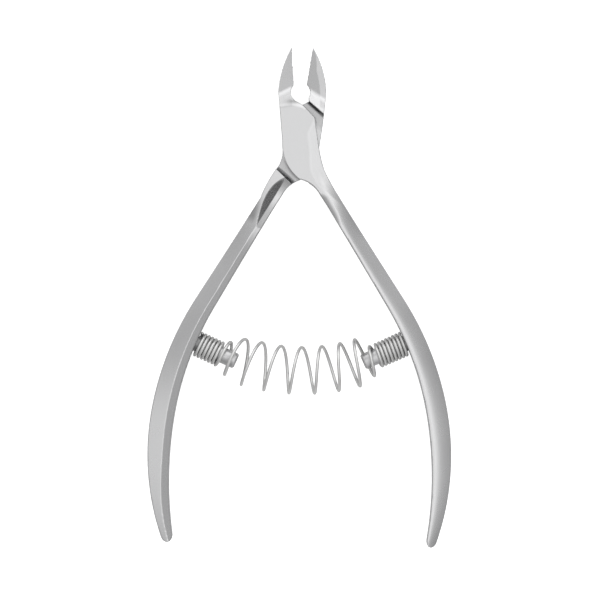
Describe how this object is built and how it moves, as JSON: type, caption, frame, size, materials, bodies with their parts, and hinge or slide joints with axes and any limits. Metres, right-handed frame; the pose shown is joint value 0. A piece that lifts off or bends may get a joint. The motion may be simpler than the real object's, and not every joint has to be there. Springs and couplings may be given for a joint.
{
  "type": "cuticle nipper",
  "caption": "Lap-joint cuticle nipper: pointed cutting jaws with ground facets, slim bowed handles and a coil return spring on two posts between them.",
  "frame": {"origin": "on the pivot axis, in the plane of the face that the tool lies on", "axes": "+Z out of the flat tool's front face, along the pivot axis; +Y towards the cutting tips; +X towards the back lever's jaw and the front lever's handle"},
  "size_m": [0.0607, 0.0997, 0.0098],
  "materials": {
    "lever_steel": "satin ground and polished stainless steel",
    "rivet_steel": "ground flush stainless steel",
    "post_steel": "turned stainless steel",
    "spring_wire": "drawn bright spring wire"
  },
  "bodies": {
    "front": {"front_lever": "lever_steel", "pivot_rivet": "rivet_steel", "front_spring_post": "post_steel", "return_spring": "spring_wire"},
    "back": {"back_lever": "lever_steel", "back_spring_post": "post_steel"}
  },
  "joints": [
    {"name": "pivot", "type": "hinge", "parent": "front", "child": "back", "pos_m": [0, 0, 0.0038], "axis": [0, 0, 1], "range_deg": [-7, 12.4], "stiffness_Nm_per_rad": 0.5, "deforming": ["return_spring"]}
  ]
}
